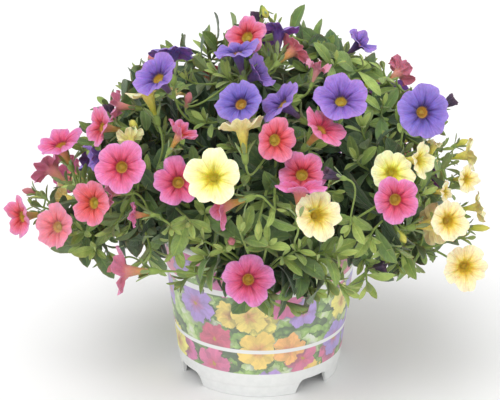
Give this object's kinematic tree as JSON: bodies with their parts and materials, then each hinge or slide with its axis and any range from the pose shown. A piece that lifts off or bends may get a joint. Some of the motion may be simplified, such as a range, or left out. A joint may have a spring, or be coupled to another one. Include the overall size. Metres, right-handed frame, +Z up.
{
  "type": "calibrachoa",
  "caption": "Potted calibrachoa: a rounded mound of leafy shoots with small violet, pink and pale yellow trumpet flowers, trailing over the rim of a round white nursery pot.",
  "frame": {"origin": "centre of the pot's underside, on the surface that it stands on", "axes": "+Z up, -Y toward the front of the picture, +X to its right"},
  "size_m": [0.2709, 0.2293, 0.2234],
  "materials": {
    "pot": "satin white moulded plastic",
    "soil": null,
    "woody_stem": "green-brown woody stem",
    "leaf": null,
    "petal_violet": "matte violet petals",
    "petal_pink": "matte pink petals",
    "petal_yellow": "matte pale yellow petals"
  },
  "bodies": {
    "root": {"bloom_pink_back": "petal_pink", "bloom_pink_back_left": "petal_pink", "bloom_pink_back_right": "petal_pink", "bloom_pink_far_left": "petal_pink", "bloom_pink_far_left_low": "petal_pink", "bloom_pink_front": "petal_pink", "bloom_pink_heart": "petal_pink", "bloom_pink_left_front": "petal_pink", "bloom_pink_left_low": "petal_pink", "bloom_pink_left_top": "petal_pink", "bloom_pink_left_under": "petal_pink", "bloom_pink_middle": "petal_pink", "bloom_pink_middle_left": "petal_pink", "bloom_pink_middle_right": "petal_pink", "bloom_pink_over_rim": "petal_pink", "bloom_pink_right": "petal_pink", "bloom_pink_top": "petal_pink", "bloom_violet_back": "petal_violet", "bloom_violet_back_left": "petal_violet", "bloom_violet_back_right": "petal_violet", "bloom_violet_middle": "petal_violet", "bloom_violet_middle_right": "petal_violet", "bloom_violet_right": "petal_violet", "bloom_violet_summit": "petal_violet", "bloom_violet_top_left": "petal_violet", "bloom_violet_top_middle": "petal_violet", "bloom_violet_upper_left": "petal_violet", "bloom_violet_upper_right": "petal_violet", "bloom_yellow_back": "petal_yellow", "bloom_yellow_back_high": "petal_yellow", "bloom_yellow_back_right": "petal_yellow", "bloom_yellow_far_right": "petal_yellow", "bloom_yellow_front": "petal_yellow", "bloom_yellow_heart": "petal_yellow", "bloom_yellow_middle": "petal_yellow", "bloom_yellow_right": "petal_yellow", "bloom_yellow_right_low": "petal_yellow", "bloom_yellow_upper_left": "petal_yellow", "crown_pink": "woody_stem", "crown_violet": "woody_stem", "crown_yellow": "woody_stem", "pot": "pot", "shoot_01": "leaf", "shoot_02": "leaf", "shoot_03": "leaf", "shoot_04": "leaf", "shoot_05": "leaf", "shoot_06": "leaf", "shoot_07": "leaf", "shoot_08": "leaf", "shoot_09": "leaf", "shoot_10": "leaf", "shoot_11": "leaf", "shoot_12": "leaf", "shoot_13": "leaf", "shoot_14": "leaf", "shoot_15": "leaf", "shoot_16": "leaf", "shoot_17": "leaf", "soil": "soil"}
  },
  "joints": []
}
